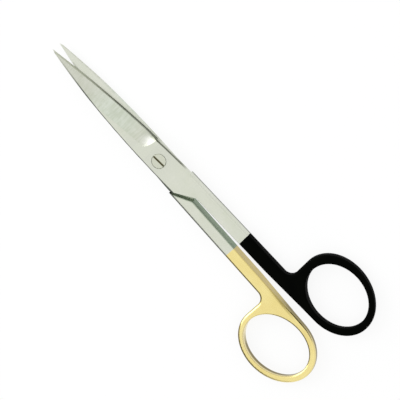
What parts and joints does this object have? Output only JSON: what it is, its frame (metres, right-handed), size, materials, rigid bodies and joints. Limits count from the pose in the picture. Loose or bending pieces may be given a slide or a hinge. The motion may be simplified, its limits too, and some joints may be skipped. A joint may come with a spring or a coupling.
{
  "type": "operating scissors",
  "caption": "Straight operating scissors: crossed forged halves turn on a slotted pivot screw, with finger rings and hard inserts along the cutting edges.",
  "frame": {"origin": "the pivot axis at the plane of the underside, on which the scissors lie", "axes": "+X along the closed blades towards the tips, +Z along the pivot axis towards the screw's head, +Y to the side of the gold ring"},
  "size_m": [0.1469, 0.0537, 0.0048],
  "materials": {
    "black_ringed_steel": "satin stainless steel blade and shank, the ring and the end of the shank coated black",
    "gold_ringed_steel": "satin stainless steel blade and shank, the ring and the end of the shank plated with pale gold",
    "screw_steel": "turned stainless steel, satin",
    "tungsten_carbide": "ground tungsten carbide, dark grey"
  },
  "bodies": {
    "rear": {"rear_half": "gold_ringed_steel", "rear_carbide_insert": "tungsten_carbide", "pivot_screw": "screw_steel"},
    "front": {"front_half": "black_ringed_steel", "front_carbide_insert": "tungsten_carbide"}
  },
  "joints": [
    {"name": "pivot", "type": "hinge", "parent": "rear", "child": "front", "pos_m": [0, 0, 0.0024], "axis": [0, 0, 1], "range_deg": [-3, 57]}
  ]
}
